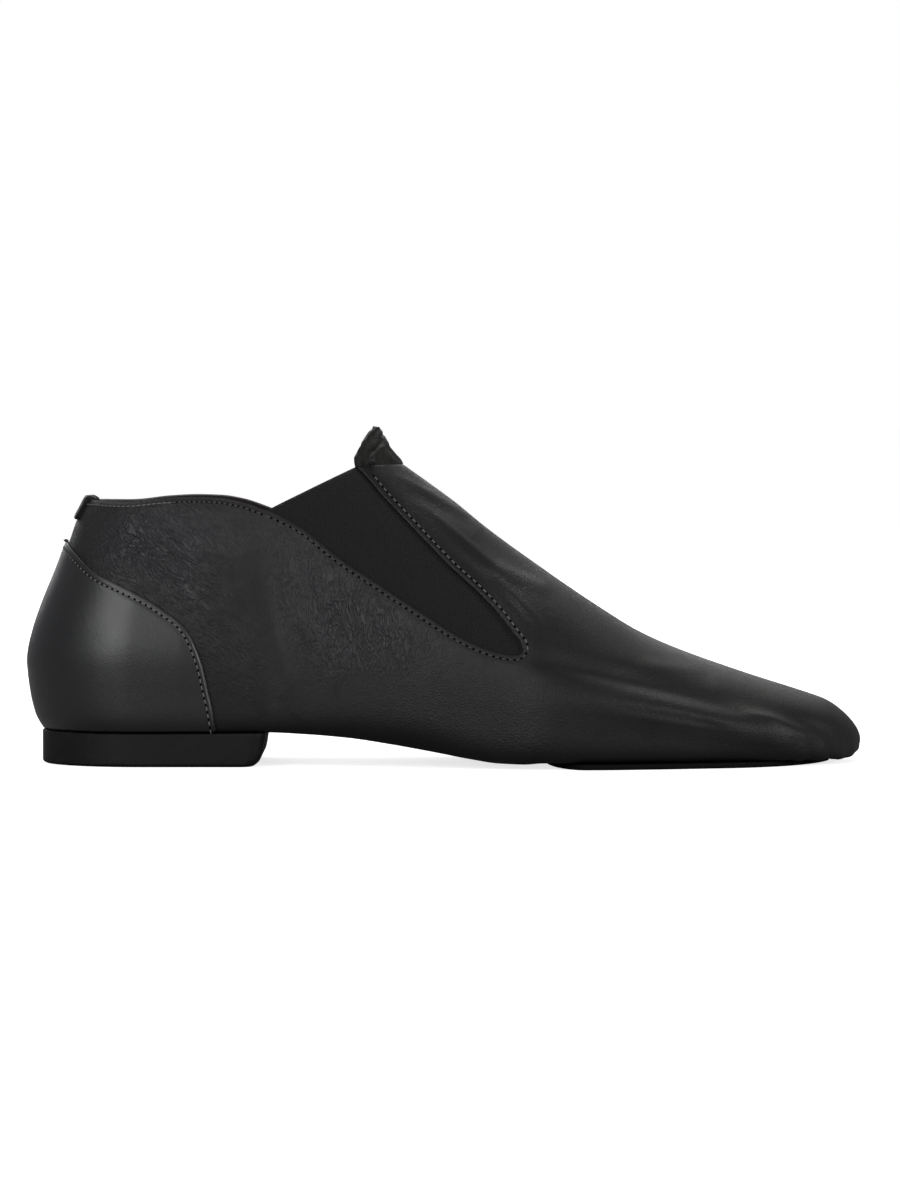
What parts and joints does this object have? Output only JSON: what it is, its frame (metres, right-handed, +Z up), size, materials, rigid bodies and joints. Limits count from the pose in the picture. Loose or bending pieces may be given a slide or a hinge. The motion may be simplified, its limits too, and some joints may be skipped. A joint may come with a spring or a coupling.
{
  "type": "slip-on jazz shoe",
  "caption": "Low slip-on dance shoe with a hollow leather upper, elastic side gores, a heel counter, pull tabs, a low heel block and a separate thin forefoot pad.",
  "frame": {"origin": "on the floor, under the middle of the shoe's box", "axes": "+X to the toe, +Z up, -Y to the outer side of the right foot"},
  "size_m": [0.2499, 0.0881, 0.1008],
  "materials": {
    "upper_leather": "soft black leather with fine grain, satin",
    "counter_leather": "smooth black leather, satin",
    "elastic": "black ribbed elastic webbing, matte",
    "tab_leather": "crumpled black leather",
    "insole_leather": "dark matte lining leather",
    "heel_rubber": "black moulded rubber, matte",
    "pad_rubber": "black rubber pad, matte"
  },
  "bodies": {
    "root": {"upper": "upper_leather", "heel_counter": "counter_leather", "gore_outer": "elastic", "gore_inner": "elastic", "front_tab": "tab_leather", "back_tab": "tab_leather", "insole": "insole_leather", "heel": "heel_rubber", "forefoot_sole": "pad_rubber"}
  },
  "joints": []
}
